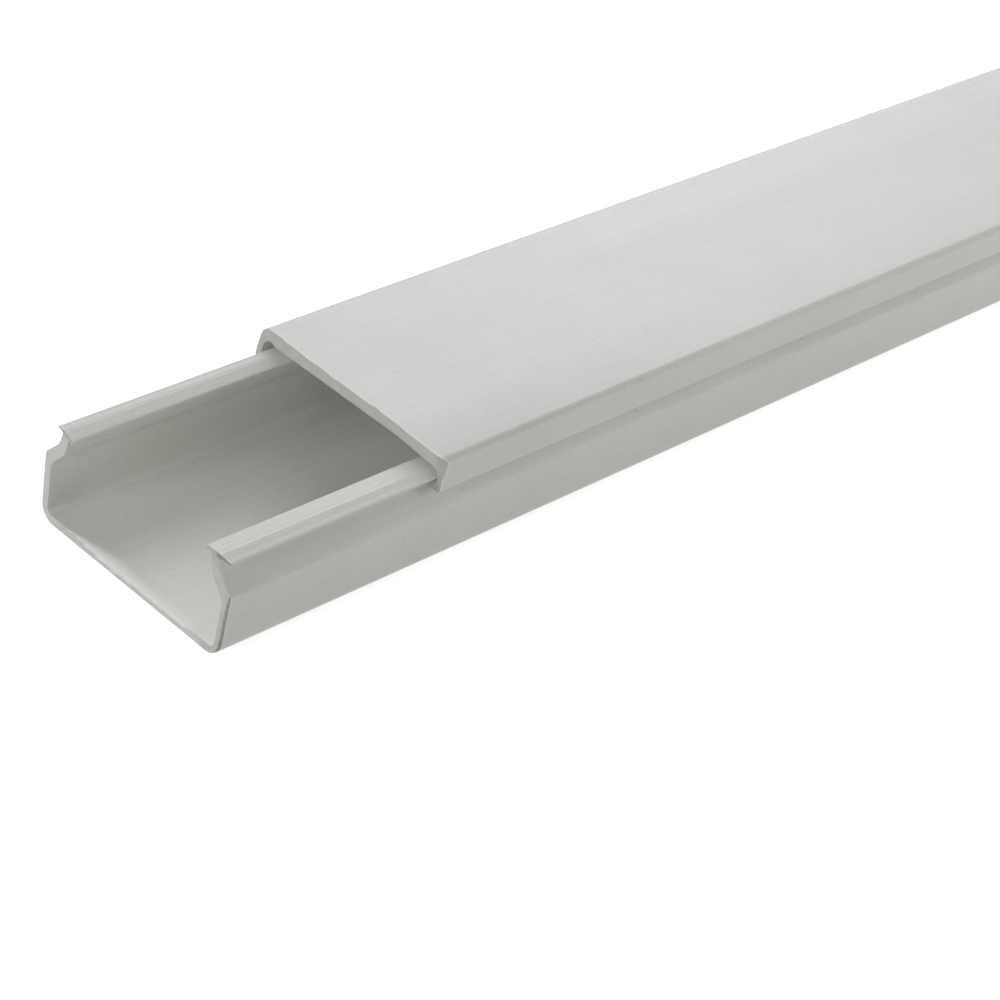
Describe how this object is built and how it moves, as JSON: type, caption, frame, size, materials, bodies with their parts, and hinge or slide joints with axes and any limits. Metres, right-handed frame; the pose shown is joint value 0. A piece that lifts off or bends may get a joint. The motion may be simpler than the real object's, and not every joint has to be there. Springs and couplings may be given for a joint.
{
  "type": "cord cover raceway",
  "caption": "Rectangular white plastic cord cover raceway: an open self-adhesive channel with inward snap rails and a flat clip-on lid, slid part way open.",
  "frame": {"origin": "middle of the back of the release liner, the face that lies on the wall or the floor", "axes": "+Y along the stock, away from the end where the channel shows, the way the lid is slid back; +Z out of the back towards the lid; +X across the width"},
  "size_m": [0.04, 0.439, 0.02],
  "materials": {
    "base_plastic": "extruded white uPVC, satin, with fine die lines along its length",
    "lid_plastic": "extruded white uPVC, satin, with fine die lines along its length",
    "adhesive": "cream pressure-sensitive adhesive",
    "liner_paper": "yellow-ochre siliconised kraft paper, thin and slightly glossy"
  },
  "bodies": {
    "channel": {"trunking_base": "base_plastic", "adhesive_tape": "adhesive", "release_liner": "liner_paper"},
    "lid": {"trunking_lid": "lid_plastic"}
  },
  "joints": [
    {"name": "lid_slide", "type": "slide", "parent": "channel", "child": "lid", "axis": [0, 1, 0], "range_m": [-0.039, 0.365]}
  ]
}
